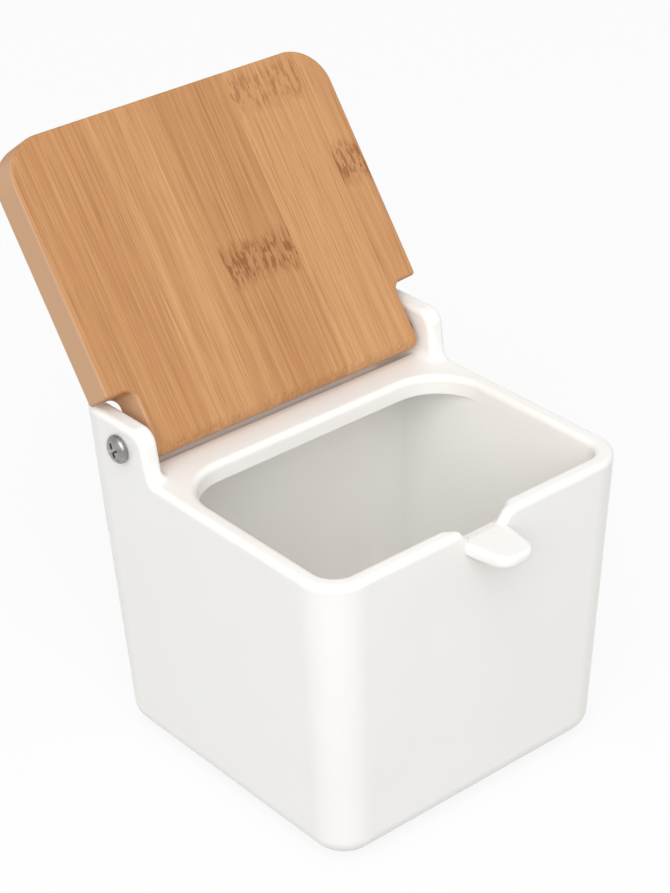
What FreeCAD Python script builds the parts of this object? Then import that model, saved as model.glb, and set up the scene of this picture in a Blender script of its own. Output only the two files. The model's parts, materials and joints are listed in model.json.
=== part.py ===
import FreeCAD, Part

import math
import os

import Sketcher

# Square porcelain canister with a hinged bamboo lid, shown with the lid thrown open.
# Millimetres. X runs along the hinge, the front faces -Y, +Z is up.
# The origin is the middle of the canister's footprint, on the surface it stands on.

CANISTER_SIZES = {
    "base_width": 95.8,
    "rim_height": 91.0,
    "corner_rim": 11.5,
    "corner_base": 10.0,
    "base_round": 6.0,
    "foot_height": 2.0,
    "foot_inset": 6.6,
    "foot_ring": 4.0,
    "foot_corner": 7.0,
    "foot_sink": 1.0,
    "wall": 5.2,
    "rear_wall": 9.0,
    "floor_thick": 6.0,
    "floor_round": 4.0,
    "deck_thick": 5.5,
    "cavity_rear_corner": 10.0,
    "mouth_rear": 16.8,
    "mouth_rear_corner": 15.0,
    "rim_round_share": 0.34,
}
EAR_SIZES = {
    "ear_front": 22.4,
    "ear_foot_front": 20.2,
    "ear_tip_round": 3.5,
    "ear_rise": 14.0,
    "ear_corner": 5.0,
    "ear_foot_round": 2.5,
    "hole_width": 5.8,
}
NOTCH_SIZES = {
    "notch_inside_width": 24.0,
    "notch_inside_floor": 15.0,
    "notch_inside_depth": 4.8,
    "notch_outside_width": 11.0,
    "notch_outside_floor": 4.8,
    "notch_outside_depth": 3.4,
    "notch_shoulder_round": 2.5,
    "notch_floor_round": 1.8,
    "notch_over_share": 0.2,
    "tab_width": 15.6,
    "tab_tip_width": 10.4,
    "tab_reach": 13.0,
    "tab_edge": 3.2,
    "tab_thick": 6.6,
    "tab_heel_width": 7.0,
    "tab_heel_reach": 1.2,
    "tab_heel_corner": 1.0,
    "tab_top_share": 0.36,
    "tab_under_share": 0.55,
    "tab_corner_share": 0.9,
    "tab_root_share": 0.3,
}
HINGE_SIZES = {
    "pivot_back": 31.8,
    "pivot_rise": 6.5,
    "lid_gap": 0.4,
    "seat_gap": 0.3,
    "tongue_gap": 2.0,
    "sweep_gap": 0.4,
    "hollow_end_gap": 0.5,
}
LID_SIZES = {
    "lid_thick": 11.2,
    "lid_width": 107.6,
    "lid_overhang": 1.3,
    "lid_reach": 84.4,
    "lid_corner": 12.0,
    "lid_edge_round": 1.0,
    "shoulder_reach": 12.8,
    "shoulder_round": 3.0,
    "shoulder_step": 8.3,
    "tail_reach": 6.2,
    "tail_round": 3.5,
    "left_stave": 25.8,
    "stave_width": 23.8,
}
SCREW_SIZES = {
    "screw_width": 4.0,
    "screw_length": 20.0,
    "screw_point": 0.6,
    "head_width": 8.0,
    "head_height": 2.1,
    "head_edge": 1.6,
    "head_gap": 0.3,
    "recess_width": 4.4,
    "recess_slot": 1.1,
    "recess_depth": 1.4,
    "insert_width": 7.0,
    "insert_length": 12.0,
    "insert_gap": 0.05,
    "thread_gap": 0.05,
    "bore_spare": 2.0,
}
CUT_SIZES = {"overrun": 5.0}

STAVE_COUNT = 5
ALL_SIZES = (CANISTER_SIZES, EAR_SIZES, NOTCH_SIZES, HINGE_SIZES, LID_SIZES, SCREW_SIZES, CUT_SIZES)

doc = FreeCAD.newDocument("porcelain_canister")
sheet = doc.addObject("Spreadsheet::Sheet", "dims")
row = 0
for group in ALL_SIZES:
    for alias, number in group.items():
        row += 1
        sheet.set(f"A{row}", alias)
        sheet.set(f"B{row}", str(number))
        sheet.setAlias(f"B{row}", alias)
doc.recompute()

# Formulas that several pieces share.
EAR_TOP = "(dims.rim_height + dims.ear_rise)"
PIVOT_Z = "(dims.rim_height + dims.pivot_rise)"
DECK_UNDER = "(dims.rim_height - dims.deck_thick)"
FLOOR_TOP = "(dims.foot_height + dims.floor_thick)"
RIM_WIDTH = "(dims.lid_width - 2 * dims.lid_overhang)"
TONGUE_WIDTH = "(dims.lid_width - 2 * dims.shoulder_step)"
EAR_SPACING = f"({TONGUE_WIDTH} + 2 * dims.tongue_gap)"
EAR_THICK = f"(({RIM_WIDTH} - {EAR_SPACING}) / 2)"
RIM_ROUND = f"(min(dims.wall; {EAR_THICK}) * dims.rim_round_share)"
LID_UNDER = "(dims.pivot_rise - dims.lid_gap)"
LID_OVER = f"(dims.lid_thick - {LID_UNDER})"
STAVES_LEFT = "(-dims.lid_width / 2)"

# Radius swept about the hinge axis by the lid's tail, rounded above and below.
TAIL_SWING = (
    "(sqrt((dims.tail_reach - dims.tail_round)^2"
    f" + (max({LID_UNDER}; {LID_OVER}) - dims.tail_round)^2) + dims.tail_round)"
)

# The lid is open as far as it goes: the rounded back edges of its shoulders sit on the ears.
SEAT_REACH = "(dims.shoulder_reach + dims.lid_edge_round)"
SEAT_DEPTH = f"({LID_OVER} - dims.lid_edge_round)"
SEAT_HEIGHT = "(dims.ear_rise + dims.seat_gap - dims.pivot_rise + dims.lid_edge_round)"
OPEN_ANGLE = (
    f"(180 deg - asin({SEAT_HEIGHT} / sqrt({SEAT_REACH}^2 + {SEAT_DEPTH}^2))"
    f" - atan2({SEAT_DEPTH}; {SEAT_REACH}))"
)


def value(expression):
    """Number that a formula of the sheet gives now."""
    return float(sheet.evalExpression(expression))


def width_at(height):
    """Outer width of the tapered canister at a height above the table."""
    return f"(dims.base_width + ({RIM_WIDTH} - dims.base_width) * {height} / dims.rim_height)"


def corner_at(height):
    """Outer corner radius of the canister at a height above the table."""
    return f"(dims.corner_base + (dims.corner_rim - dims.corner_base) * {height} / dims.rim_height)"


def new_body(name):
    body = doc.addObject("PartDesign::Body", name)
    body.Label = name
    return body


def new_sketch(body, name, role, offset="0"):
    """Sketch on one of the body's origin planes, moved along the plane's normal."""
    sketch = body.newObject("Sketcher::SketchObject", name)
    plane = next(item for item in body.Origin.OriginFeatures if item.Role == role)
    sketch.AttachmentSupport = [(plane, "")]
    sketch.MapMode = "FlatFace"
    sketch.setExpression("AttachmentOffset.Base.z", offset)
    doc.recompute()
    return sketch


def bind(sketch, expression, kind, *geometry):
    """Dimension whose size comes from the sheet."""
    index = sketch.addConstraint(Sketcher.Constraint(kind, *geometry, value(expression)))
    sketch.setExpression(f"Constraints[{index}]", expression)


def rounded_corner(sketch, corner, arriving, leaving, radius):
    """Arc tangent to the two lines that meet at a corner, which stays as a construction point."""
    place = sketch.Geometry[corner]
    at = FreeCAD.Vector(place.X, place.Y, 0)
    back = (sketch.Geometry[arriving].StartPoint - at).normalize()
    on = (sketch.Geometry[leaving].EndPoint - at).normalize()
    half_angle = back.getAngle(on) / 2
    towards = (back + on).normalize()
    trim = value(radius) / math.tan(half_angle)
    middle = at + towards * (value(radius) / math.sin(half_angle) - value(radius))
    first, last = at + back * trim, at + on * trim
    turns_left = back.cross(on).z < 0
    ends = (first, middle, last) if turns_left else (last, middle, first)
    start, end = (1, 2) if turns_left else (2, 1)
    arc = sketch.addGeometry(Part.Arc(*ends), False)
    sketch.addConstraint(Sketcher.Constraint("Tangent", arriving, 2, arc, start))
    sketch.addConstraint(Sketcher.Constraint("Tangent", arc, end, leaving, 1))
    sketch.addConstraint(Sketcher.Constraint("PointOnObject", corner, 1, arriving))
    sketch.addConstraint(Sketcher.Constraint("PointOnObject", corner, 1, leaving))
    bind(sketch, radius, "Radius", arc)


def outline(sketch, points, rounds=None):
    """Closed outline through points given as formulas, with some corners rounded.

    rounds maps a point's number to the formula of its radius.
    """
    rounds = rounds or {}
    places = [FreeCAD.Vector(value(x), value(y), 0) for x, y in points]
    corners = []
    for place, (x, y) in zip(places, points):
        corner = sketch.addGeometry(Part.Point(place), True)
        bind(sketch, x, "DistanceX", -1, 1, corner, 1)
        bind(sketch, y, "DistanceY", -1, 1, corner, 1)
        corners.append(corner)
    lines = []
    for place, after in zip(places, places[1:] + places[:1]):
        lines.append(sketch.addGeometry(Part.LineSegment(place, after), False))
    for number, corner in enumerate(corners):
        arriving, leaving = lines[number - 1], lines[number]
        if number in rounds:
            rounded_corner(sketch, corner, arriving, leaving, rounds[number])
        else:
            sketch.addConstraint(Sketcher.Constraint("Coincident", arriving, 2, corner, 1))
            sketch.addConstraint(Sketcher.Constraint("Coincident", leaving, 1, corner, 1))
    doc.recompute()
    return sketch


def rounded_rectangle(sketch, width, front, rear, front_corner, rear_corner):
    """Rectangle about the Y axis with one radius for its front corners and one behind."""
    half = f"({width} / 2)"
    points = [
        (f"-{half}", f"-{front}"),
        (half, f"-{front}"),
        (half, rear),
        (f"-{half}", rear),
    ]
    rounds = {0: front_corner, 1: front_corner, 2: rear_corner, 3: rear_corner}
    return outline(sketch, points, rounds)


def circle(sketch, x, y, diameter):
    centre = FreeCAD.Vector(value(x), value(y), 0)
    ring = sketch.addGeometry(Part.Circle(centre, FreeCAD.Vector(0, 0, 1), value(diameter) / 2), False)
    bind(sketch, x, "DistanceX", -1, 1, ring, 3)
    bind(sketch, y, "DistanceY", -1, 1, ring, 3)
    bind(sketch, diameter, "Diameter", ring)
    doc.recompute()
    return sketch


def loft(body, kind, name, sections):
    feature = body.newObject(f"PartDesign::{kind}Loft", name)
    feature.Profile = sections[0]
    feature.Sections = sections[1:]
    feature.Ruled = True
    doc.recompute()
    return feature


def extrude(body, kind, name, sketch, length, side="One side", reverse=False):
    """Pad or Pocket of a sketch; it has to change the volume."""
    before = body.Shape.Volume if body.Tip else 0
    feature = body.newObject(f"PartDesign::{kind}", name)
    feature.Profile = sketch
    feature.SideType = side
    feature.Reversed = reverse
    feature.setExpression("Length", length)
    doc.recompute()
    change = feature.Shape.Volume - before
    if (kind == "Pad") != (change > 0) or change == 0:
        raise RuntimeError(f"{name} changed the volume by {change}")
    return feature


def edge_at(feature, x, y, z):
    """Name of the edge that passes closest to a point."""
    probe = Part.Vertex(value(x), value(y), value(z))
    distances = [edge.distToShape(probe)[0] for edge in feature.Shape.Edges]
    return f"Edge{distances.index(min(distances)) + 1}"


def fillet(body, name, radius, places):
    """Round the edges through the given points, and all that run on smoothly from them."""
    base = body.Tip
    feature = body.newObject("PartDesign::Fillet", name)
    feature.Base = (base, sorted({edge_at(base, *place) for place in places}))
    feature.setExpression("Radius", radius)
    doc.recompute()
    return feature


def both_sides(x, y, z):
    return [(x, y, z), (f"(-{x})", y, z)]


def notch_size(name, share):
    """Half of a width of the notch, or its depth, at a share of the wall's thickness from outside."""
    outside, inside = f"dims.notch_outside_{name}", f"dims.notch_inside_{name}"
    size = f"({outside} + ({inside} - {outside}) * {share})"
    return size if name == "depth" else f"({size} / 2)"


def notch_section(sketch, share):
    """Section of the notch, carried up past the rim along its sloped sides."""
    top, foot, depth = (notch_size(name, share) for name in ("width", "floor", "depth"))
    cut_top = f"({top} + ({top} - {foot}) / {depth} * dims.overrun)"
    over = "(dims.rim_height + dims.overrun)"
    floor = f"(dims.rim_height - {depth})"
    points = [(f"-{cut_top}", over), (f"-{foot}", floor), (foot, floor), (cut_top, over)]
    return outline(sketch, points, {1: "dims.notch_floor_round", 2: "dims.notch_floor_round"})


def porcelain_body():
    """Slip-cast canister: tapered walls, rear deck, hinge ears, spoon notch and finger tab."""
    body = new_body("porcelain_body")

    # Outer form, tapered from the foot to the top of the ears.
    outer = []
    for name, height in (("outer_base", "dims.foot_height"), ("outer_top", EAR_TOP)):
        half = f"({width_at(height)} / 2)"
        corner = corner_at(height)
        sketch = new_sketch(body, name, "XY_Plane", height)
        outer.append(rounded_rectangle(sketch, width_at(height), half, half, corner, corner))
    loft(body, "Additive", "outer_form", outer)

    # Everything above the rim goes, but for two ears behind.
    above = f"({EAR_TOP} + dims.overrun)"
    far = f"({RIM_WIDTH} / 2 + dims.overrun)"
    ear_lean = "((dims.ear_front - dims.ear_foot_front) / dims.ear_rise)"
    profile = new_sketch(body, "ear_profile", "YZ_Plane")
    outline(
        profile,
        [
            ("dims.ear_foot_front", "dims.rim_height"),
            (f"(dims.ear_front + {ear_lean} * dims.overrun)", above),
            (f"-{far}", above),
            (f"-{far}", "dims.rim_height"),
        ],
    )
    across = f"(2 * {far})"
    extrude(body, "Pocket", "rim_cut", profile, across, "Symmetric")

    # Between the ears the deck is open to the back; each ear's inner face turns out behind
    # to leave the rounded corner at a right angle.
    gap = new_sketch(body, "ear_gap_outline", "XY_Plane", "dims.rim_height")
    ear_inside = f"({EAR_SPACING} / 2)"
    ahead = "(dims.ear_foot_front - dims.overrun)"
    outline(
        gap,
        [
            (f"-{ear_inside}", ahead),
            (ear_inside, ahead),
            (ear_inside, ear_inside),
            (far, far),
            (f"-{far}", far),
            (f"-{ear_inside}", ear_inside),
        ],
        {2: "dims.ear_tip_round", 5: "dims.ear_tip_round"},
    )
    extrude(body, "Pocket", "ear_gap", gap, "(dims.ear_rise + dims.overrun)", reverse=True)
    ear_middle = f"(({EAR_SPACING} + {width_at(EAR_TOP)}) / 4)"
    fillet(body, "ear_corners", "dims.ear_corner", both_sides(ear_middle, "dims.ear_front", EAR_TOP))

    # Hollow inside, closed over behind by the deck.
    cavity = []
    for name, height in (("cavity_floor", FLOOR_TOP), ("cavity_top", DECK_UNDER)):
        half = f"({width_at(height)} / 2)"
        sketch = new_sketch(body, name, "XY_Plane", height)
        cavity.append(
            rounded_rectangle(
                sketch,
                f"({width_at(height)} - 2 * dims.wall)",
                f"({half} - dims.wall)",
                f"({half} - dims.rear_wall)",
                f"({corner_at(height)} - dims.wall)",
                "dims.cavity_rear_corner",
            )
        )
    loft(body, "Subtractive", "cavity", cavity)
    mouth = []
    for name, height in (("mouth_under", DECK_UNDER), ("mouth_over", "(dims.rim_height + dims.overrun)")):
        half = f"({width_at(height)} / 2)"
        sketch = new_sketch(body, name, "XY_Plane", height)
        mouth.append(
            rounded_rectangle(
                sketch,
                f"({width_at(height)} - 2 * dims.wall)",
                f"({half} - dims.wall)",
                "dims.mouth_rear",
                f"({corner_at(height)} - dims.wall)",
                "dims.mouth_rear_corner",
            )
        )
    loft(body, "Subtractive", "mouth", mouth)

    # Spoon notch in the front rim: a funnel, wide inside and narrow outside, with sloped sides.
    notch = []
    ends = (("notch_outside", "(-dims.notch_over_share)"), ("notch_inside", "(1 + dims.notch_over_share)"))
    for name, share in ends:
        sketch = new_sketch(body, name, "XZ_Plane", f"({RIM_WIDTH} / 2 - dims.wall * {share})")
        notch.append(notch_section(sketch, share))
    loft(body, "Subtractive", "notch", notch)
    rim_half = f"({RIM_WIDTH} / 2)"
    rim_middle = f"(-({rim_half} - dims.wall / 2))"
    shoulders = both_sides(notch_size("width", "(1 / 2)"), rim_middle, "dims.rim_height")
    fillet(body, "notch_shoulders", "dims.notch_shoulder_round", shoulders)

    # Soft glazed edges: ears first, then their feet, then the whole outer and inner rim.
    fillet(body, "ear_edges", RIM_ROUND, both_sides(ear_inside, "dims.pivot_back", EAR_TOP))
    fillet(body, "ear_feet", "dims.ear_foot_round", both_sides(ear_inside, "dims.pivot_back", "dims.rim_height"))
    straight_side = "(-dims.mouth_rear)"
    mouth_side = (f"({rim_half} - dims.wall)", straight_side, "dims.rim_height")
    fillet(body, "mouth_edge", RIM_ROUND, [mouth_side])
    fillet(body, "outer_edge", RIM_ROUND, [(rim_half, straight_side, "dims.rim_height")])
    base_half = f"({width_at('dims.foot_height')} / 2)"
    fillet(body, "base_edge", "dims.base_round", [(base_half, "0", "dims.foot_height")])
    floor_half = f"({width_at(FLOOR_TOP)} / 2 - dims.wall)"
    fillet(body, "floor_edge", "dims.floor_round", [(floor_half, "0", FLOOR_TOP)])

    # Shallow hollow across the deck that lets the lid's tail swing through.
    hollow = new_sketch(body, "hollow_profile", "YZ_Plane")
    circle(hollow, "dims.pivot_back", PIVOT_Z, f"(2 * ({TAIL_SWING} + dims.sweep_gap))")
    hollow_width = f"({TONGUE_WIDTH} + 2 * dims.hollow_end_gap)"
    extrude(body, "Pocket", "tail_hollow", hollow, hollow_width, "Symmetric")

    # Screw holes through both ears.
    holes = new_sketch(body, "hole_profile", "YZ_Plane")
    circle(holes, "dims.pivot_back", PIVOT_Z, "dims.hole_width")
    extrude(body, "Pocket", "screw_holes", holes, across, "Symmetric")

    # Foot ring under the floor.
    ring = new_sketch(body, "foot_outline", "XY_Plane")
    for inset in ("dims.foot_inset", "(dims.foot_inset + dims.foot_ring)"):
        half = f"(dims.base_width / 2 - {inset})"
        corner = "dims.foot_corner" if inset == "dims.foot_inset" else "(dims.foot_corner - dims.foot_ring / 2)"
        rounded_rectangle(ring, f"(2 * {half})", half, half, corner, corner)
    extrude(body, "Pad", "foot_ring", ring, "(dims.foot_height + dims.foot_sink)")

    # Finger tab that carries the floor of the notch on, out over the front; its underside slopes
    # back to a heel on the wall.
    tab_top = f"(dims.rim_height - {notch_size('depth', 'dims.tab_root_share')})"
    tab_edge = f"({tab_top} - dims.tab_edge)"
    tab_heel = f"({tab_top} - dims.tab_thick)"
    front_half = f"({width_at(tab_top)} / 2)"
    root = f"(-({front_half} - dims.wall * dims.tab_root_share))"
    tip = f"(-({front_half} + dims.tab_reach))"
    tip_corner = "(dims.tab_tip_width / 2 * dims.tab_corner_share)"
    heel = f"(-({front_half} + dims.tab_heel_reach))"
    heel_width = "dims.tab_heel_width"
    levels = (
        ("tab_top_outline", tab_top, "dims.tab_width", "dims.tab_tip_width", tip, tip_corner),
        ("tab_edge_outline", tab_edge, "dims.tab_width", "dims.tab_tip_width", tip, tip_corner),
        ("tab_heel_outline", tab_heel, heel_width, heel_width, heel, "dims.tab_heel_corner"),
    )
    tab = []
    for name, level, root_width, tip_width, end, corner in levels:
        sketch = new_sketch(body, name, "XY_Plane", level)
        points = [
            (f"(-{root_width} / 2)", root),
            (f"(-{tip_width} / 2)", end),
            (f"({tip_width} / 2)", end),
            (f"({root_width} / 2)", root),
        ]
        tab.append(outline(sketch, points, {1: corner, 2: corner}))
    loft(body, "Additive", "finger_tab", tab)
    fillet(body, "tab_top", "(dims.tab_edge * dims.tab_top_share)", [("0", tip, tab_top)])
    fillet(body, "tab_under", "(dims.tab_edge * dims.tab_under_share)", [("0", tip, tab_edge)])
    return body


def lid_board():
    """Whole lid board, hinge axis on X, as it lies when shut: front at -Y, tail at +Y."""
    body = new_body("lid_board")
    half = "(dims.lid_width / 2)"
    tongue = f"({TONGUE_WIDTH} / 2)"
    front = "-dims.lid_reach"
    shoulder = "-dims.shoulder_reach"
    plan = new_sketch(body, "lid_outline", "XY_Plane", f"-{LID_UNDER}")
    outline(
        plan,
        [
            (f"-{half}", front),
            (half, front),
            (half, shoulder),
            (tongue, shoulder),
            (tongue, "dims.tail_reach"),
            (f"-{tongue}", "dims.tail_reach"),
            (f"-{tongue}", shoulder),
            (f"-{half}", shoulder),
        ],
        {0: "dims.lid_corner", 1: "dims.lid_corner", 3: "dims.shoulder_round", 6: "dims.shoulder_round"},
    )
    extrude(body, "Pad", "lid_plate", plan, "dims.lid_thick")
    tail_edges = [("0", "dims.tail_reach", f"-{LID_UNDER}"), ("0", "dims.tail_reach", LID_OVER)]
    fillet(body, "rounded_tail", "dims.tail_round", tail_edges)
    edges = fillet(body, "sanded_edges", "dims.lid_edge_round", [("0", front, LID_OVER)])
    edges.UseAllEdges = True
    doc.recompute()

    # A blind bore in each side of the tongue takes the threaded insert.
    for side, reverse in (("right", False), ("left", True)):
        offset = f"-{tongue}" if reverse else tongue
        sketch = new_sketch(body, f"insert_bore_{side}_circle", "YZ_Plane", offset)
        circle(sketch, "0", "0", "(dims.insert_width + 2 * dims.insert_gap)")
        depth = "(dims.insert_length + dims.bore_spare)"
        extrude(body, "Pocket", f"insert_bore_{side}", sketch, depth, reverse=reverse)
    return body


def put_on_hinge(piece):
    """Carry a piece from the hinge's own frame to the canister, thrown open with the lid."""
    piece.Placement = FreeCAD.Placement(FreeCAD.Vector(), FreeCAD.Rotation(FreeCAD.Vector(1, 0, 0), 1))
    piece.setExpression("Placement.Base.y", "dims.pivot_back")
    piece.setExpression("Placement.Base.z", PIVOT_Z)
    piece.setExpression("Placement.Rotation.Angle", f"-{OPEN_ANGLE}")
    doc.recompute()


def lid_staves(board):
    """The board's glued bamboo staves, numbered from the left, each cut out by its own slab."""
    staves = []
    for number in range(1, STAVE_COUNT + 1):
        slab = doc.addObject("Part::Box", f"stave_slab_{number}")
        seam = f"({STAVES_LEFT} + dims.left_stave + {number - 2} * dims.stave_width)"
        left, width = seam, "dims.stave_width"
        if number == 1:
            left, width = f"({STAVES_LEFT} - dims.overrun)", "(dims.left_stave + dims.overrun)"
        elif number == STAVE_COUNT:
            width = f"(dims.lid_width / 2 + dims.overrun - {seam})"
        slab.setExpression("Placement.Base.x", left)
        slab.setExpression("Placement.Base.y", "-(dims.lid_reach + dims.overrun)")
        slab.setExpression("Placement.Base.z", f"-({LID_UNDER} + dims.overrun)")
        slab.setExpression("Length", width)
        slab.setExpression("Width", "dims.lid_reach + dims.tail_reach + 2 * dims.overrun")
        slab.setExpression("Height", "dims.lid_thick + 2 * dims.overrun")
        stave = doc.addObject("Part::Common", f"lid_stave_{number}")
        stave.Label = stave.Name
        stave.Base = board
        stave.Tool = slab
        doc.recompute()
        put_on_hinge(stave)
        staves.append(stave)
    return staves


def hinge_screw(side, sign):
    """Pan head screw with a cross recess; it turns with the lid in the ear's plain hole."""
    body = new_body(f"hinge_screw_{side}")
    under_head = f"({width_at(f'({PIVOT_Z} + dims.head_width / 2)')} / 2 + dims.head_gap)"
    crown = f"({under_head} + dims.head_height)"
    tip = f"({under_head} - dims.screw_length)"
    shank = "(dims.screw_width / 2)"
    head = "(dims.head_width / 2)"
    profile = new_sketch(body, f"screw_profile_{side}", "XY_Plane")
    outline(
        profile,
        [
            (f"({sign} * {tip})", "0"),
            (f"({sign} * {tip})", f"({shank} - dims.screw_point)"),
            (f"({sign} * ({tip} + dims.screw_point))", shank),
            (f"({sign} * {under_head})", shank),
            (f"({sign} * {under_head})", head),
            (f"({sign} * {crown})", head),
            (f"({sign} * {crown})", "0"),
        ],
        {5: "dims.head_edge"},
    )
    turned = body.newObject("PartDesign::Revolution", f"screw_turned_{side}")
    turned.Profile = profile
    turned.ReferenceAxis = (profile, ["H_Axis"])
    turned.Angle = 360
    doc.recompute()
    recess = new_sketch(body, f"recess_outline_{side}", "YZ_Plane", f"({sign} * {crown})")
    arm = "(dims.recess_width / 2)"
    slot = "(dims.recess_slot / 2)"
    corners = [(arm, slot), (slot, slot), (slot, arm)]
    quarter_turns = [("{0}", "{1}"), ("-{1}", "{0}"), ("-{0}", "-{1}"), ("{1}", "-{0}")]
    points = []
    for x_form, y_form in quarter_turns:
        points += [(x_form.format(x, y), y_form.format(x, y)) for x, y in corners]
    outline(recess, points)
    extrude(body, "Pocket", f"recess_{side}", recess, "dims.recess_depth", reverse=sign < 0)
    put_on_hinge(body)
    return body


def insert_nut(side, sign):
    """Threaded insert pressed into the tongue, flush with its side."""
    body = new_body(f"insert_nut_{side}")
    face = f"({sign} * {TONGUE_WIDTH} / 2)"
    section = new_sketch(body, f"insert_section_{side}", "YZ_Plane", face)
    circle(section, "0", "0", "dims.insert_width")
    circle(section, "0", "0", "(dims.screw_width + 2 * dims.thread_gap)")
    extrude(body, "Pad", f"insert_tube_{side}", section, "dims.insert_length", reverse=sign > 0)
    put_on_hinge(body)
    return body


SIDES = (("left", -1), ("right", 1))
pieces = [porcelain_body()]
pieces += lid_staves(lid_board())
pieces += [hinge_screw(side, sign) for side, sign in SIDES]
pieces += [insert_nut(side, sign) for side, sign in SIDES]
doc.recompute()

broken = [item.Label for item in doc.Objects if "Invalid" in item.State or "Error" in item.State]
if broken:
    raise RuntimeError(f"failed: {broken}")
for piece in pieces:
    shape = piece.Shape
    if shape.isNull() or not shape.isValid() or len(shape.Solids) != 1:
        raise RuntimeError(f"{piece.Label} is not one sound solid")
os.makedirs("parts", exist_ok=True)
for piece in pieces:
    piece.Shape.exportStep(f"parts/{piece.Label}.step")
    print(piece.Label, round(piece.Shape.Volume, 1), "mm3")
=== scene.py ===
import json
import math

import bmesh
import bpy
from mathutils import Matrix, Vector


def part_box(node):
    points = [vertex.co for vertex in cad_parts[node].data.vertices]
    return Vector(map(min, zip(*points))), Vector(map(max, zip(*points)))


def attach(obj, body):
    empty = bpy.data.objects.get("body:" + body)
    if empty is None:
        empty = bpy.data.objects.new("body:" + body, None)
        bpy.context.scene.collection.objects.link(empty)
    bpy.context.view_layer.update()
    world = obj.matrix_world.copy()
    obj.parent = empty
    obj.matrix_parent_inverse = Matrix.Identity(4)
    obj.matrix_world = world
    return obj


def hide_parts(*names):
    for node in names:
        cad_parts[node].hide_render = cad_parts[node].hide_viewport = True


# Square white porcelain canister with a hinged bamboo lid, thrown open.
# Metres. X runs along the hinge, the front faces -Y, +Z is up.

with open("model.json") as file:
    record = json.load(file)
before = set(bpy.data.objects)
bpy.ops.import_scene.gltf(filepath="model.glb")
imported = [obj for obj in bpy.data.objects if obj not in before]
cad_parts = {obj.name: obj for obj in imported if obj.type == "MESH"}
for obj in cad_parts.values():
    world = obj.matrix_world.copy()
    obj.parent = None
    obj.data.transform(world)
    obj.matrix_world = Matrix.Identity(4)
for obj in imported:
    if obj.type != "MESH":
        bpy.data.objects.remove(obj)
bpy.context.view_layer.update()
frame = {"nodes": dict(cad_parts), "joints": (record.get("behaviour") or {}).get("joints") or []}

MM = 0.001

# Hinge, as packed. At rest the lid is open; turning it by LID_SWING shuts it.
hinge = frame["joints"][0]
HINGE_PLACE = Vector(hinge["pos_m"])
LID_SWING = math.radians(max(hinge["range_deg"]))

# Screws: M4 pan head with a cross recess.
HEAD_WIDTH = 8.0 * MM
HEAD_HEIGHT = 2.1 * MM
HEAD_EDGE_HEIGHT = 0.55 * MM
HEAD_UNDER_ROUND = 0.2 * MM
THREAD_WIDTH = 4.0 * MM
THREAD_DEPTH = 0.42 * MM
THREAD_PITCH = 0.7 * MM
THREAD_TAPER = 0.8 * MM
RECESS_WIDTH = 4.5 * MM
RECESS_FOOT_WIDTH = 1.9 * MM
RECESS_SLOT = 1.05 * MM
RECESS_FOOT_SLOT = 0.6 * MM
RECESS_DEPTH = 1.7 * MM
RECESS_OVER_SHARE = 0.4
RECESS_TURN = math.radians(24)
HEAD_ROUND_SHARE = 0.3
DOME_FULLNESS = 0.55
DOME_RISE = 1.1
THREAD_ROOT_SHARE = 0.12
THREAD_STEEPNESS = 1.35
SCREW_SIDES = 64
RINGS_PER_TURN = 8
DOME_RINGS = 12

# Bamboo staves from left to right: seed of the grain, tone from dark (-1) to light (+1), where the knuckle
# of the cane lies along the board, in millimetres ahead of the hinge, and how dark it is.
STAVE_LOOKS = (
    (3.1, -0.12, 0.0, 0.0),
    (7.7, 0.08, 0.0, 0.0),
    (1.9, -0.12, 33.0, 1.0),
    (5.3, 0.20, 77.0, 0.6),
    (9.2, 0.10, 49.0, 0.9),
)
KNUCKLE_LENGTH = 12.0
KNUCKLE_WANDER = 9.0
SEED_ACROSS = 61.7
SEED_ALONG = 23.3

# Noises of the grain: cycles per millimetre across, along and through the board, detail, roughness.
BROAD_GRAIN = ((0.16, 0.004, 0.16), 2.0, 0.5)
STRAND_GRAIN = ((0.8, 0.010, 0.8), 3.0, 0.6)
FINE_GRAIN = ((3.2, 0.028, 3.2), 2.0, 0.5)
PORE_GRAIN = ((2.4, 0.055, 2.4), 1.0, 0.5)
RAGGED_GRAIN = ((0.5, 0.03, 0.5), 3.0, 0.7)
SPLINT_GRAIN = ((1.1, 0.24, 1.1), 2.0, 0.6)
DOT_GRAIN = ((1.6, 0.4, 1.6), 1.0, 0.5)

# How strongly each noise changes the tone, and the spans over which the masks of the grain, and of the
# painted sheen on the board's sides, fade in.
BROAD_WEIGHT = 0.6
STRAND_WEIGHT = 1.2
FINE_WEIGHT = 1.3
PORE_SPAN = (0.58, 0.70)
KNUCKLE_SPAN = (0.4, 1.3)
SPLINT_SPAN = (0.49, 0.58)
SPLINT_SHARES = (0.16, 0.86)
# The next span fades in the painted sheen on the board's sides, by how far a face turns across the staves.
SIDE_SHEEN_SPAN = (0.55, 0.9)
DOT_SPAN = (0.5, 0.62)
CUT_END_SPAN = (0.8, 0.97)
PORE_SHARE = 0.42
# How much of the painted sheen colour the board's sides take.
SIDE_SHEEN_SHARE = 0.8
DOT_SHARE = 0.5
KNUCKLE_SINK_SHARE = 0.8
BAMBOO_ROUGH = (0.48, 0.6)
BAMBOO_RELIEF = 0.12 * MM
BAMBOO_RELIEF_SHARE = 0.35
BAMBOO_SPECULAR = 0.4

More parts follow.
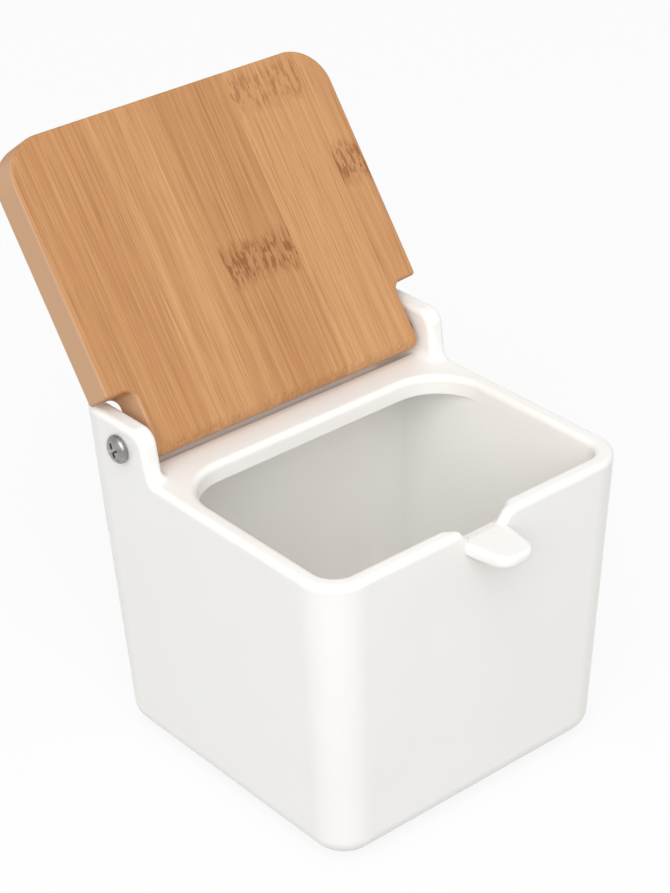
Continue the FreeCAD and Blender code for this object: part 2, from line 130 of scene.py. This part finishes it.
# Mottle of the glaze and the metals: a slow noise for the tone, a finer one for the roughness and the bump.
MOTTLE_DETAIL = 3.0
MOTTLE_ROUGHNESS = 0.55
MOTTLE_SPAN = (0.35, 0.7)
RIPPLE_FINENESS = 7.0
RIPPLE_SPAN = (0.3, 0.7)
RIPPLE_SHARE = 0.12
GLAZE_SCALE = 26.0
GLAZE_ROUGH = (0.14, 0.20)
GLAZE_RELIEF = 0.15 * MM
GLAZE_RELIEF_SHARE = 0.25
GLAZE_EDGE = 0.5 * MM
GLAZE_IOR = 1.5
GLAZE_START = (0.3 * MM, 0.9 * MM)
CLAY_ROUGHNESS = 0.85
METAL_SCALE = 420.0
METAL_RELIEF = 0.02 * MM
METAL_RELIEF_SHARE = 0.3
STEEL_ROUGH = (0.22, 0.36)
BRASS_ROUGH = (0.28, 0.42)

# Angles over which an edge stays sharp.
SMOOTH_ANGLE = math.radians(28)
SCREW_SMOOTH_ANGLE = math.radians(32)

# Camera, fitted to the photograph's edges.
CAMERA_PLACE = (-0.37365, -0.44774, 0.42859)
CAMERA_YAW = math.radians(39.385)
CAMERA_PITCH = math.radians(-30.086)
CAMERA_ROLL = math.radians(-1.793)
CAMERA_LENS = 101.84
CAMERA_NEAR = 0.01
SENSOR_WIDTH = 36.0


def colour(red, green, blue):
    """Linear colour, opaque, of an sRGB one from 0 to 255."""
    def linear(channel):
        share = channel / 255
        return share / 12.92 if share <= 0.04045 else ((share + 0.055) / 1.055) ** 2.4

    return (linear(red), linear(green), linear(blue), 1.0)


BAMBOO_LIGHT = colour(211, 158, 108)
BAMBOO_DARK = colour(177, 122, 74)
BAMBOO_FIBRE = colour(156, 104, 62)
BAMBOO_KNUCKLE = colour(142, 84, 43)
# Painted sheen: the paler, greyer colour painted on the lid board's sides.
BAMBOO_SIDE_SHEEN = colour(209, 169, 133)
GLAZE_TONE = colour(250, 249, 246)
GLAZE_SHADE = colour(249, 247, 243)
BARE_CLAY = colour(216, 211, 203)
STEEL_TONE = colour(162, 160, 157)
STEEL_SHADE = colour(132, 130, 128)
BRASS_TONE = colour(214, 178, 106)
BRASS_SHADE = colour(190, 150, 84)
WHITE = colour(255, 255, 255)


# Node helpers

class Nodes:
    """A node tree that is written down as calls; sockets and plain numbers can both be inputs."""

    def __init__(self, tree):
        self.tree = tree

    def add(self, kind, inputs=None, **settings):
        node = self.tree.nodes.new(kind)
        for name, setting in settings.items():
            setattr(node, name, setting)
        for name, given in (inputs or {}).items():
            self.put(given, node.inputs[name])
        return node

    def put(self, given, socket):
        if isinstance(given, bpy.types.NodeSocket):
            self.tree.links.new(given, socket)
        else:
            socket.default_value = given

    def math(self, operation, first, second=0.0, clamp=False):
        node = self.add("ShaderNodeMath", {0: first, 1: second}, operation=operation, use_clamp=clamp)
        return node.outputs[0]

    def remap(self, value, low, high, to_low=0.0, to_high=1.0, smooth=False):
        shape = "SMOOTHSTEP" if smooth else "LINEAR"
        numbers = {"Value": value, "From Min": low, "From Max": high, "To Min": to_low, "To Max": to_high}
        return self.add("ShaderNodeMapRange", numbers, interpolation_type=shape).outputs["Result"]

    def noise(self, vector, scale, detail=2.0, roughness=0.5):
        numbers = {"Vector": vector, "Scale": scale, "Detail": detail, "Roughness": roughness}
        return self.add("ShaderNodeTexNoise", numbers).outputs["Fac"]

    def grain(self, vector, stretch, detail, roughness):
        """Noise that is drawn out by a number for each axis."""
        node = self.add("ShaderNodeVectorMath", {0: vector, 1: stretch}, operation="MULTIPLY")
        return self.noise(node.outputs["Vector"], 1.0, detail, roughness)

    def mix(self, share, first, second):
        node = self.add("ShaderNodeMix", data_type="RGBA")
        self.put(share, node.inputs["Factor"])
        self.put(first, node.inputs["A"])
        self.put(second, node.inputs["B"])
        return node.outputs["Result"]


def new_group(name, inputs, outputs):
    """Shader node group; inputs and outputs map a name to a socket type, inputs with a default."""
    tree = bpy.data.node_groups.new(name, "ShaderNodeTree")
    for label, (kind, default) in inputs.items():
        socket = tree.interface.new_socket(label, in_out="INPUT", socket_type=kind)
        socket.default_value = default
    for label, kind in outputs.items():
        tree.interface.new_socket(label, in_out="OUTPUT", socket_type=kind)
    nodes = Nodes(tree)
    return nodes, nodes.add("NodeGroupInput"), nodes.add("NodeGroupOutput")


def new_material(name):
    """Material with an empty Principled shader; returns the material, its nodes and the shader."""
    material = bpy.data.materials.new(name)
    material.use_nodes = True
    nodes = Nodes(material.node_tree)
    shader = material.node_tree.nodes["Principled BSDF"]
    return material, nodes, shader


def place_group(nodes, tree, **inputs):
    node = nodes.add("ShaderNodeGroup", node_tree=tree)
    for name, given in inputs.items():
        nodes.put(given, node.inputs[name])
    return node


def bump(nodes, height, distance, strength, normal=None):
    node = nodes.add("ShaderNodeBump", {"Height": height, "Distance": distance, "Strength": strength})
    if normal is not None:
        nodes.put(normal, node.inputs["Normal"])
    return node.outputs["Normal"]


# Shared effects

FLOAT, COLOUR, VECTOR = "NodeSocketFloat", "NodeSocketColor", "NodeSocketVector"


def build_soft_mottle():
    """Slow change of tone over a surface, with a fine ripple for its bump."""
    inputs = {
        "Tone": (COLOUR, (0.8, 0.8, 0.8, 1.0)),
        "Shade": (COLOUR, (0.7, 0.7, 0.7, 1.0)),
        "Scale": (FLOAT, 40.0),
        "Rough Low": (FLOAT, 0.2),
        "Rough High": (FLOAT, 0.3),
    }
    outputs = {"Color": COLOUR, "Roughness": FLOAT, "Height": FLOAT}
    nodes, given, made = new_group("soft_mottle", inputs, outputs)
    place = nodes.add("ShaderNodeTexCoord").outputs["Object"]
    slow = nodes.noise(place, given.outputs["Scale"], MOTTLE_DETAIL, MOTTLE_ROUGHNESS)
    fine = nodes.noise(place, nodes.math("MULTIPLY", given.outputs["Scale"], RIPPLE_FINENESS))
    share = nodes.remap(slow, *MOTTLE_SPAN, smooth=True)
    nodes.put(nodes.mix(share, given.outputs["Tone"], given.outputs["Shade"]), made.inputs["Color"])
    rough = nodes.remap(fine, *RIPPLE_SPAN, given.outputs["Rough Low"], given.outputs["Rough High"])
    nodes.put(rough, made.inputs["Roughness"])
    height = nodes.math("ADD", slow, nodes.math("MULTIPLY", fine, RIPPLE_SHARE))
    nodes.put(height, made.inputs["Height"])
    return nodes.tree


def build_bamboo_fibre():
    """Fibres along the lid board, with the cane's knuckle as a ragged band of short dark splints."""
    inputs = {name: (FLOAT, 0.0) for name in ("Seed", "Tone", "Knuckle", "Knuckle Depth")}
    outputs = {"Color": COLOUR, "Roughness": FLOAT, "Height": FLOAT}
    nodes, given, made = new_group("bamboo_fibre", inputs, outputs)

    # Millimetres in the shut lid's own frame: X across the staves, -Y along the board, Z through it.
    turn = Matrix.Rotation(LID_SWING, 3, "X")
    surface = nodes.add("ShaderNodeTexCoord")
    board = nodes.add("ShaderNodeMapping", {"Vector": surface.outputs["Object"]})
    board.inputs["Scale"].default_value = (1 / MM, 1 / MM, 1 / MM)
    board.inputs["Rotation"].default_value = (LID_SWING, 0.0, 0.0)
    board.inputs["Location"].default_value = -(turn @ HINGE_PLACE) / MM
    shift = nodes.add("ShaderNodeCombineXYZ")
    nodes.put(nodes.math("MULTIPLY", given.outputs["Seed"], SEED_ACROSS), shift.inputs["X"])
    nodes.put(nodes.math("MULTIPLY", given.outputs["Seed"], SEED_ALONG), shift.inputs["Y"])
    moved = nodes.add("ShaderNodeVectorMath", {0: board.outputs[0], 1: shift.outputs[0]}, operation="ADD")
    point = moved.outputs["Vector"]

    broad = nodes.grain(point, *BROAD_GRAIN)
    strand = nodes.grain(point, *STRAND_GRAIN)
    fine = nodes.grain(point, *FINE_GRAIN)
    pore = nodes.remap(nodes.grain(point, *PORE_GRAIN), *PORE_SPAN, smooth=True)

    tone = nodes.math("ADD", given.outputs["Tone"], 0.5)
    for layer, weight in ((broad, BROAD_WEIGHT), (strand, STRAND_WEIGHT), (fine, FINE_WEIGHT)):
        tone = nodes.math("ADD", tone, nodes.math("MULTIPLY", nodes.math("SUBTRACT", layer, 0.5), weight))
    wood = nodes.mix(nodes.math("MAXIMUM", tone, 0.0, clamp=True), BAMBOO_DARK, BAMBOO_LIGHT)
    wood = nodes.mix(nodes.math("MULTIPLY", pore, PORE_SHARE), wood, BAMBOO_FIBRE)

    # The knuckle: distance along the board from its middle, with a ragged edge.
    along = nodes.add("ShaderNodeSeparateXYZ", {0: board.outputs[0]}).outputs["Y"]
    ragged = nodes.math("SUBTRACT", nodes.grain(point, *RAGGED_GRAIN), 0.5)
    wander = nodes.math("MULTIPLY", ragged, KNUCKLE_WANDER)
    off = nodes.math("ADD", nodes.math("ADD", along, given.outputs["Knuckle"]), wander)
    reach = nodes.math("DIVIDE", nodes.math("ABSOLUTE", off), KNUCKLE_LENGTH / 2)
    band = nodes.remap(reach, *KNUCKLE_SPAN, 1.0, 0.0, smooth=True)
    splint = nodes.remap(nodes.grain(point, *SPLINT_GRAIN), *SPLINT_SPAN, *SPLINT_SHARES, smooth=True)
    knot = nodes.math("MULTIPLY", nodes.math("MULTIPLY", band, splint), given.outputs["Knuckle Depth"])
    wood = nodes.mix(knot, wood, BAMBOO_KNUCKLE)

    # The board's sides are painted paler and greyer, a painted sheen of grazing light; its ends show the
    # cut fibres as dots.
    facing = nodes.add("ShaderNodeMapping", {"Vector": surface.outputs["Normal"]}, vector_type="NORMAL")
    facing.inputs["Rotation"].default_value = (LID_SWING, 0.0, 0.0)
    faces = nodes.add("ShaderNodeSeparateXYZ", {0: facing.outputs[0]})
    flank = nodes.remap(nodes.math("ABSOLUTE", faces.outputs["X"]), *SIDE_SHEEN_SPAN, smooth=True)
    wood = nodes.mix(nodes.math("MULTIPLY", flank, SIDE_SHEEN_SHARE), wood, BAMBOO_SIDE_SHEEN)
    dots = nodes.remap(nodes.grain(point, *DOT_GRAIN), *DOT_SPAN, smooth=True)
    cut_end = nodes.remap(nodes.math("ABSOLUTE", faces.outputs["Y"]), *CUT_END_SPAN, smooth=True)
    cut_fibre = nodes.math("MULTIPLY", nodes.math("MULTIPLY", cut_end, dots), DOT_SHARE)
    nodes.put(nodes.mix(cut_fibre, wood, BAMBOO_FIBRE), made.inputs["Color"])

    rough = nodes.remap(fine, *RIPPLE_SPAN, *BAMBOO_ROUGH)
    nodes.put(rough, made.inputs["Roughness"])
    sunk = nodes.math("MULTIPLY", knot, KNUCKLE_SINK_SHARE)
    height = nodes.math("SUBTRACT", nodes.math("ADD", strand, fine), sunk)
    nodes.put(height, made.inputs["Height"])
    return nodes.tree


soft_mottle = build_soft_mottle()
bamboo_fibre = build_bamboo_fibre()


# Materials

def place_mottle(nodes, tone, shade, scale, rough):
    mottle = place_group(nodes, soft_mottle, Tone=tone, Shade=shade, Scale=scale)
    mottle.inputs["Rough Low"].default_value, mottle.inputs["Rough High"].default_value = rough
    return mottle


def porcelain_glaze():
    """Glossy white glaze, wiped off under the foot, where the fired clay is bare and matt."""
    material, nodes, shader = new_material("white_glaze")
    glaze = place_mottle(nodes, GLAZE_TONE, GLAZE_SHADE, GLAZE_SCALE, GLAZE_ROUGH)
    place = nodes.add("ShaderNodeTexCoord").outputs["Object"]
    height = nodes.add("ShaderNodeSeparateXYZ", {0: place}).outputs["Z"]
    bare = nodes.remap(height, *GLAZE_START, 1.0, 0.0, smooth=True)
    nodes.put(nodes.mix(bare, glaze.outputs["Color"], BARE_CLAY), shader.inputs["Base Color"])
    rough = nodes.add("ShaderNodeMix", data_type="FLOAT")
    nodes.put(bare, rough.inputs["Factor"])
    nodes.put(glaze.outputs["Roughness"], rough.inputs["A"])
    rough.inputs["B"].default_value = CLAY_ROUGHNESS
    nodes.put(rough.outputs["Result"], shader.inputs["Roughness"])
    soft_edge = nodes.add("ShaderNodeBevel", {"Radius": GLAZE_EDGE}).outputs["Normal"]
    ripple = bump(nodes, glaze.outputs["Height"], GLAZE_RELIEF, GLAZE_RELIEF_SHARE, soft_edge)
    nodes.put(ripple, shader.inputs["Normal"])
    shader.inputs["IOR"].default_value = GLAZE_IOR
    return material


def bamboo(number, seed, tone, knuckle, depth):
    material, nodes, shader = new_material(f"bamboo_stave_{number}")
    fibre = place_group(nodes, bamboo_fibre, Seed=seed, Tone=tone, Knuckle=knuckle)
    fibre.inputs["Knuckle Depth"].default_value = depth
    nodes.put(fibre.outputs["Color"], shader.inputs["Base Color"])
    nodes.put(fibre.outputs["Roughness"], shader.inputs["Roughness"])
    relief = bump(nodes, fibre.outputs["Height"], BAMBOO_RELIEF, BAMBOO_RELIEF_SHARE)
    nodes.put(relief, shader.inputs["Normal"])
    shader.inputs["Specular IOR Level"].default_value = BAMBOO_SPECULAR
    return material


def metal(name, tone, shade, rough):
    material, nodes, shader = new_material(name)
    mottle = place_mottle(nodes, tone, shade, METAL_SCALE, rough)
    nodes.put(mottle.outputs["Color"], shader.inputs["Base Color"])
    nodes.put(mottle.outputs["Roughness"], shader.inputs["Roughness"])
    relief = bump(nodes, mottle.outputs["Height"], METAL_RELIEF, METAL_RELIEF_SHARE)
    nodes.put(relief, shader.inputs["Normal"])
    shader.inputs["Metallic"].default_value = 1.0
    return material


def dress(piece, material):
    piece.data.materials.clear()
    piece.data.materials.append(material)


def shade_smooth(mesh, angle):
    mesh.polygons.foreach_set("use_smooth", [True] * len(mesh.polygons))
    mesh.set_sharp_from_angle(angle=angle)


# Hinge screws

def head_profile():
    """(radius, height) pairs from the neck under the head to the middle of its domed top."""
    half = HEAD_WIDTH / 2
    rounding = HEAD_UNDER_ROUND
    halfway = rounding * HEAD_ROUND_SHARE
    points = [(half - rounding, 0.0), (half - halfway, halfway), (half, rounding)]
    for step in range(DOME_RINGS):
        turn = step / DOME_RINGS * math.pi / 2
        reach = half * math.cos(turn) ** DOME_FULLNESS
        rise = (HEAD_HEIGHT - HEAD_EDGE_HEIGHT) * math.sin(turn) ** DOME_RISE
        points.append((reach, HEAD_EDGE_HEIGHT + rise))
    return points


def thread_rings(length):
    """Rings of the thread from its tip to the neck: height, and the radius by angle round the screw."""
    outer = THREAD_WIDTH / 2
    count = int(length / THREAD_PITCH * RINGS_PER_TURN)
    rings = []
    for number in range(count + 1):
        height = -length + length * number / count
        point = min(1.0, (height + length) / THREAD_TAPER)
        near_head = min(1.0, -height / THREAD_PITCH)
        radii = []
        for side in range(SCREW_SIDES):
            phase = (height / THREAD_PITCH - side / SCREW_SIDES) % 1.0
            crest = 1 - abs(2 * phase - 1)
            flank = min(1.0, max(0.0, (crest - THREAD_ROOT_SHARE) * THREAD_STEEPNESS))
            depth = THREAD_DEPTH * (1 - flank) * near_head + THREAD_DEPTH * (1 - point)
            radii.append(outer - depth)
        rings.append((height, radii))
    return rings


def recess_wing(turn):
    """One tapered blade of the cross recess, as a cutter that stands over the head's top."""
    over = RECESS_DEPTH * RECESS_OVER_SHARE
    spread = (RECESS_WIDTH - RECESS_FOOT_WIDTH) / 2 / RECESS_DEPTH
    thicken = (RECESS_SLOT - RECESS_FOOT_SLOT) / 2 / RECESS_DEPTH
    mesh = bmesh.new()
    loops = []
    for height in (HEAD_HEIGHT - RECESS_DEPTH, HEAD_HEIGHT + over):
        grown = height - HEAD_HEIGHT + RECESS_DEPTH
        long = RECESS_FOOT_WIDTH / 2 + spread * grown
        wide = RECESS_FOOT_SLOT / 2 + thicken * grown
        corners = ((long, wide), (-long, wide), (-long, -wide), (long, -wide))
        loops.append([mesh.verts.new((x, y, height)) for x, y in corners])
    mesh.faces.new(reversed(loops[0]))
    mesh.faces.new(loops[1])
    for side in range(4):
        after = (side + 1) % 4
        mesh.faces.new((loops[0][side], loops[0][after], loops[1][after], loops[1][side]))
    bmesh.ops.rotate(mesh, cent=(0, 0, 0), matrix=Matrix.Rotation(turn, 3, "Z"), verts=mesh.verts)
    return piece_from(mesh, "recess_cutter")


def piece_from(mesh, name):
    bmesh.ops.recalc_face_normals(mesh, faces=mesh.faces)
    data = bpy.data.meshes.new(name)
    mesh.to_mesh(data)
    mesh.free()
    piece = bpy.data.objects.new(name, data)
    bpy.context.scene.collection.objects.link(piece)
    return piece


def cut(piece, cutter):
    """Take the cutter's volume out of the piece, and the cutter out of the scene."""
    modifier = piece.modifiers.new("cut", "BOOLEAN")
    modifier.operation = "DIFFERENCE"
    modifier.solver = "EXACT"
    modifier.object = cutter
    bpy.context.view_layer.update()
    shown = piece.evaluated_get(bpy.context.evaluated_depsgraph_get())
    carved = bpy.data.meshes.new_from_object(shown)
    piece.modifiers.clear()
    piece.data = carved
    bpy.data.objects.remove(cutter)


def hinge_screw(side, sign, material):
    """Pan head screw with a rolled thread, in the place of its plain solid."""
    node = f"hinge_screw_{side}"
    low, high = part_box(node)
    length = high.x - low.x - HEAD_HEIGHT
    crown = high.x if sign > 0 else low.x
    mesh = bmesh.new()
    rings = [[(radius, height) for radius in radii] for height, radii in thread_rings(length)]
    rings += [[(radius, height)] * SCREW_SIDES for radius, height in head_profile()]
    loops = []
    for ring in rings:
        loop = []
        for number, (radius, height) in enumerate(ring):
            angle = number / SCREW_SIDES * 2 * math.pi
            loop.append(mesh.verts.new((radius * math.cos(angle), radius * math.sin(angle), height)))
        loops.append(loop)
    for first, second in zip(loops, loops[1:]):
        for number in range(SCREW_SIDES):
            after = (number + 1) % SCREW_SIDES
            mesh.faces.new((first[number], first[after], second[after], second[number]))
    mesh.faces.new(reversed(loops[0]))
    top = mesh.verts.new((0, 0, HEAD_HEIGHT))
    for number in range(SCREW_SIDES):
        mesh.faces.new((loops[-1][number], loops[-1][(number + 1) % SCREW_SIDES], top))
    piece = piece_from(mesh, f"threaded_screw_{side}")
    for quarter in (0.0, math.pi / 2):
        cut(piece, recess_wing(RECESS_TURN + quarter))
    outward = Matrix.Rotation(sign * math.pi / 2, 4, "Y")
    seat = Vector((crown - sign * HEAD_HEIGHT, HINGE_PLACE.y, HINGE_PLACE.z))
    piece.data.transform(Matrix.Translation(seat) @ outward)
    shade_smooth(piece.data, SCREW_SMOOTH_ANGLE)
    dress(piece, material)
    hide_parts(node)
    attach(piece, "lid")


# Dress the pieces

nodes_by_name = frame["nodes"]
dress(nodes_by_name["porcelain_body"], porcelain_glaze())
shade_smooth(nodes_by_name["porcelain_body"].data, SMOOTH_ANGLE)
for number, look in enumerate(STAVE_LOOKS, start=1):
    stave = nodes_by_name[f"lid_stave_{number}"]
    dress(stave, bamboo(number, *look))
    shade_smooth(stave.data, SMOOTH_ANGLE)
zinc_steel = metal("zinc_steel", STEEL_TONE, STEEL_SHADE, STEEL_ROUGH)
brass = metal("plain_brass", BRASS_TONE, BRASS_SHADE, BRASS_ROUGH)
for side, sign in (("left", -1), ("right", 1)):
    hinge_screw(side, sign, zinc_steel)
    dress(nodes_by_name[f"insert_nut_{side}"], brass)
    shade_smooth(nodes_by_name[f"insert_nut_{side}"].data, SMOOTH_ANGLE)


# Stage, light and camera

FLOOR_SIZE = 12.0
FLOOR_DROP = 0.05 * MM
FLOOR_GLOW_SHARE = 0.86
FLOOR_WHITE = 0.9
FLOOR_BOUNCE = 0.44
WALL_STRENGTH = 0.91
CEILING_STRENGTH = 0.45
KEY_PLACE = (-0.94, -0.95, 1.22)
KEY_SIZE = 2.0
KEY_POWER = 24.0


def seen_directly(nodes):
    """1 for rays from the camera, and for those that mirror or pass on what it sees."""
    path = nodes.add("ShaderNodeLightPath")
    shiny = nodes.math("MAXIMUM", path.outputs["Is Glossy Ray"], path.outputs["Is Transmission Ray"])
    return nodes.math("MAXIMUM", path.outputs["Is Camera Ray"], shiny)


def white_floor():
    """Pale floor that reads as white, and keeps the canister's soft shadow."""
    bpy.ops.mesh.primitive_plane_add(size=FLOOR_SIZE, location=(0, 0, -FLOOR_DROP))
    floor = bpy.context.object
    floor.name = "studio_floor"
    material = bpy.data.materials.new("studio_white")
    material.use_nodes = True
    material.node_tree.nodes.clear()
    nodes = Nodes(material.node_tree)
    seen = seen_directly(nodes)
    tone = nodes.remap(seen, 0.0, 1.0, FLOOR_BOUNCE, FLOOR_WHITE)
    matt = nodes.add("ShaderNodeBsdfDiffuse", {"Color": tone})
    glow = nodes.add("ShaderNodeEmission", {"Color": WHITE, "Strength": 1.0})
    share = nodes.math("MULTIPLY", seen, FLOOR_GLOW_SHARE)
    both = nodes.add("ShaderNodeMixShader", {0: share, 1: matt.outputs[0], 2: glow.outputs[0]})
    nodes.add("ShaderNodeOutputMaterial", {"Surface": both.outputs[0]})
    dress(floor, material)


def soft_world():
    """Pale room whose walls are brighter than its ceiling."""
    world = bpy.data.worlds.new("soft_studio")
    bpy.context.scene.world = world
    world.use_nodes = True
    nodes = Nodes(world.node_tree)
    ground = world.node_tree.nodes["Background"]
    ground.inputs["Color"].default_value = WHITE
    towards = nodes.add("ShaderNodeTexCoord").outputs["Generated"]
    height = nodes.add("ShaderNodeSeparateXYZ", {0: towards}).outputs["Z"]
    soft = nodes.remap(height, 0.0, 1.0, WALL_STRENGTH, CEILING_STRENGTH)
    lit = nodes.remap(seen_directly(nodes), 0.0, 1.0, soft, 1.0)
    nodes.put(lit, ground.inputs["Strength"])


def softbox(name, place, size, power):
    lamp = bpy.data.lights.new(name, "AREA")
    lamp.shape = "DISK"
    lamp.size = size
    lamp.energy = power
    light = bpy.data.objects.new(name, lamp)
    light.location = place
    light.rotation_euler = (-Vector(place)).to_track_quat("-Z", "Y").to_euler()
    bpy.context.scene.collection.objects.link(light)


def photo_camera():
    lens = bpy.data.cameras.new("photo_camera")
    lens.sensor_width = SENSOR_WIDTH
    lens.lens = CAMERA_LENS
    lens.clip_start = CAMERA_NEAR
    camera = bpy.data.objects.new("photo_camera", lens)
    turn = Matrix.Rotation(-CAMERA_YAW, 4, "Z") @ Matrix.Rotation(math.pi / 2 + CAMERA_PITCH, 4, "X")
    turn = turn @ Matrix.Rotation(CAMERA_ROLL, 4, "Z")
    camera.matrix_world = Matrix.Translation(CAMERA_PLACE) @ turn
    bpy.context.scene.collection.objects.link(camera)
    bpy.context.scene.camera = camera


white_floor()
soft_world()
softbox("key_light", KEY_PLACE, KEY_SIZE, KEY_POWER)
photo_camera()
bpy.context.scene.view_settings.view_transform = "Standard"
